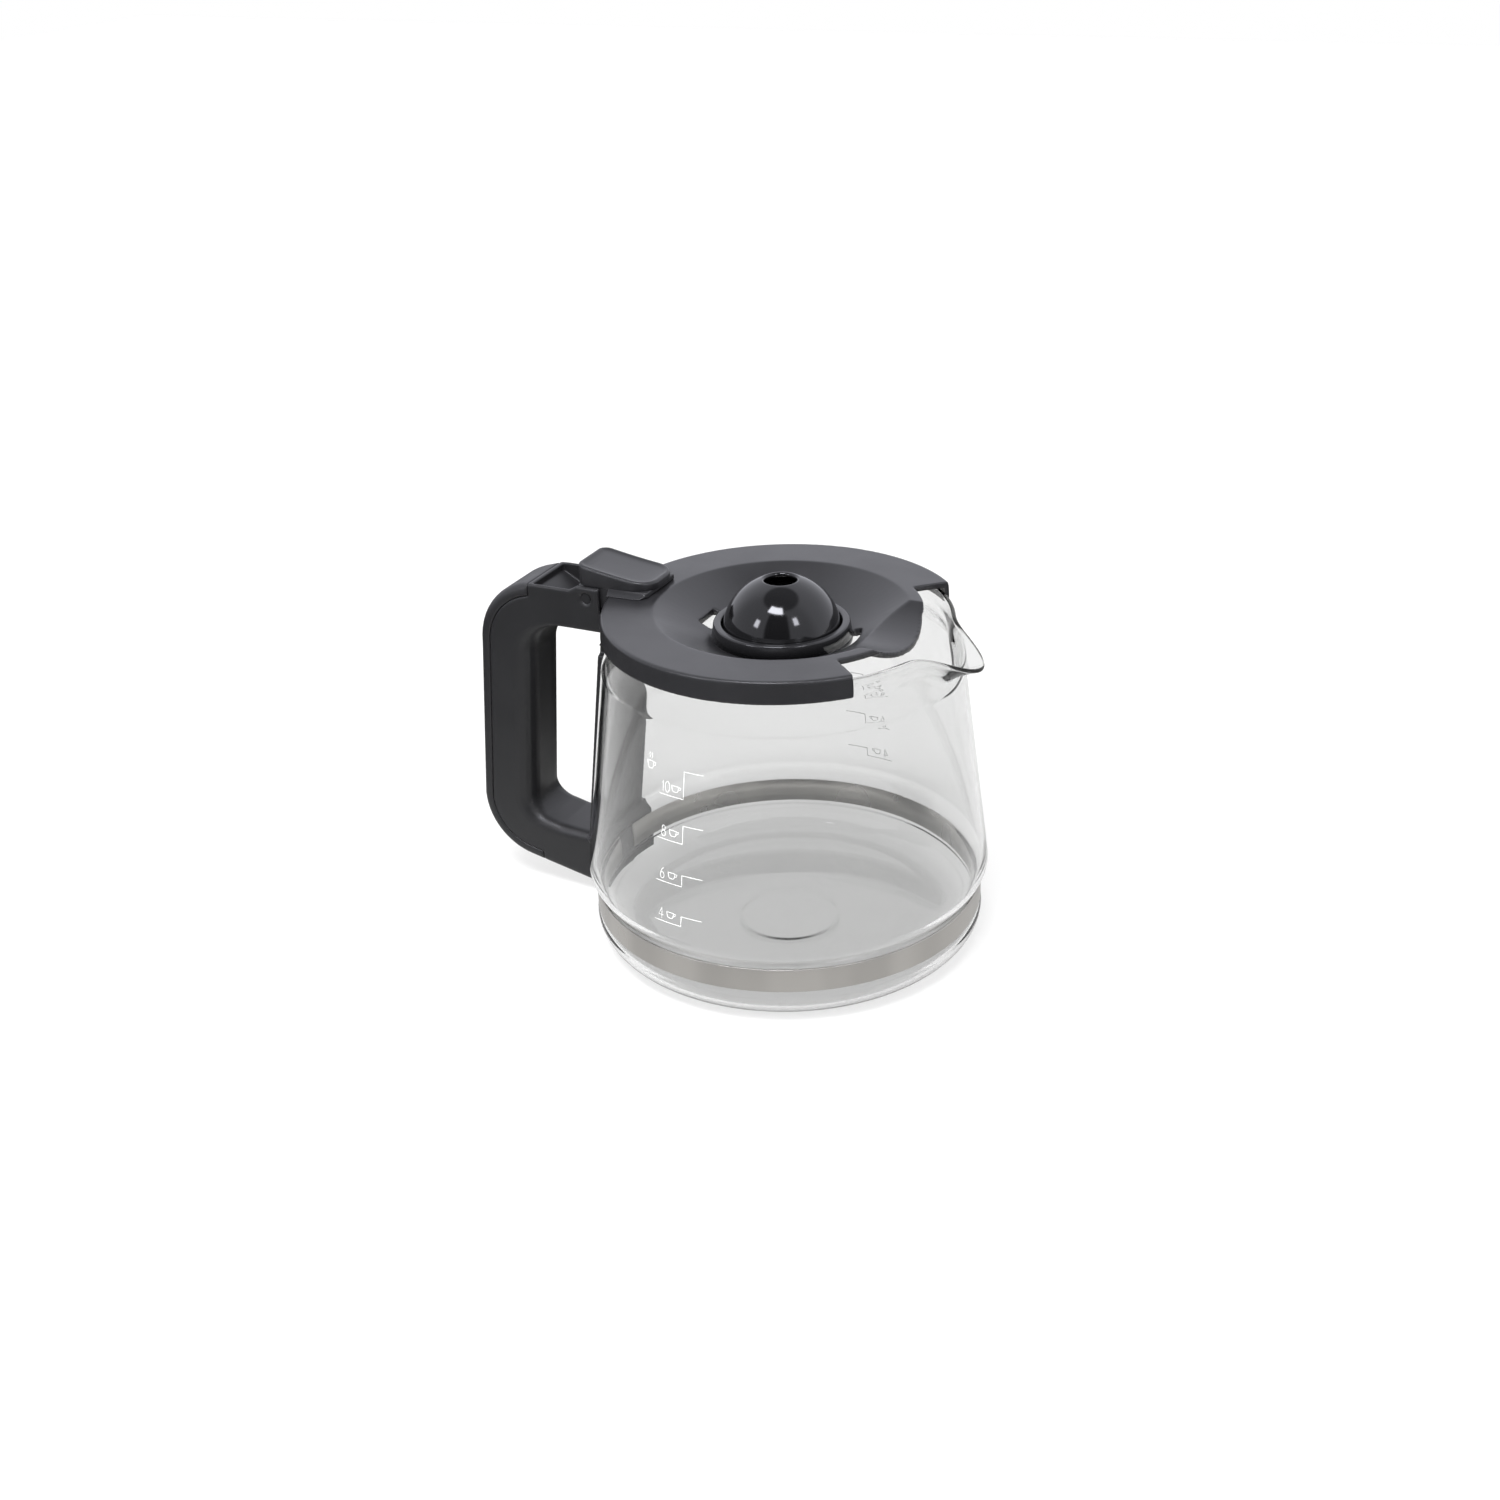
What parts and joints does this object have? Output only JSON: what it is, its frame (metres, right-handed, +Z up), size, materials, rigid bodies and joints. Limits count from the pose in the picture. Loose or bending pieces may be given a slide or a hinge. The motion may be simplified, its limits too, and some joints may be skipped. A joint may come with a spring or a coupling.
{
  "type": "coffee server carafe",
  "caption": "Glass coffee carafe with a pouring spout, a steel strap, a moulded handle with a back cover, and a hinged lid with a thumb pad and a drip dome.",
  "frame": {"origin": "centre of the flat base of the glass jug, where it stands, on the jug's axis", "axes": "+Z up along the jug's axis, +X towards the spout, the handle along -X"},
  "size_m": [0.1976, 0.1452, 0.1351],
  "materials": {
    "glass": "clear",
    "steel": "brushed",
    "steel_dark": "plain",
    "handle_plastic": "satin",
    "lid_plastic": "satin",
    "dome_plastic": "gloss"
  },
  "bodies": {
    "base": {"glass_jug": "glass", "base_band": "steel", "band_anchor": "steel_dark", "clamp_screw": "steel_dark", "neck_screw": "steel_dark", "handle_spine": "handle_plastic", "handle_body": "handle_plastic", "handle_back_cover": "handle_plastic", "hinge_pin": "steel_dark"},
    "lid": {"lid_body": "lid_plastic", "lid_lever": "lid_plastic", "thumb_pad": "lid_plastic", "dome_collar": "dome_plastic", "dome_cap": "dome_plastic"}
  },
  "joints": [
    {"name": "lid_hinge", "type": "hinge", "parent": "base", "child": "lid", "pos_m": [-0.0709, 0, 0.1218], "axis": [0, -1, 0], "range_deg": [0, 90]}
  ]
}
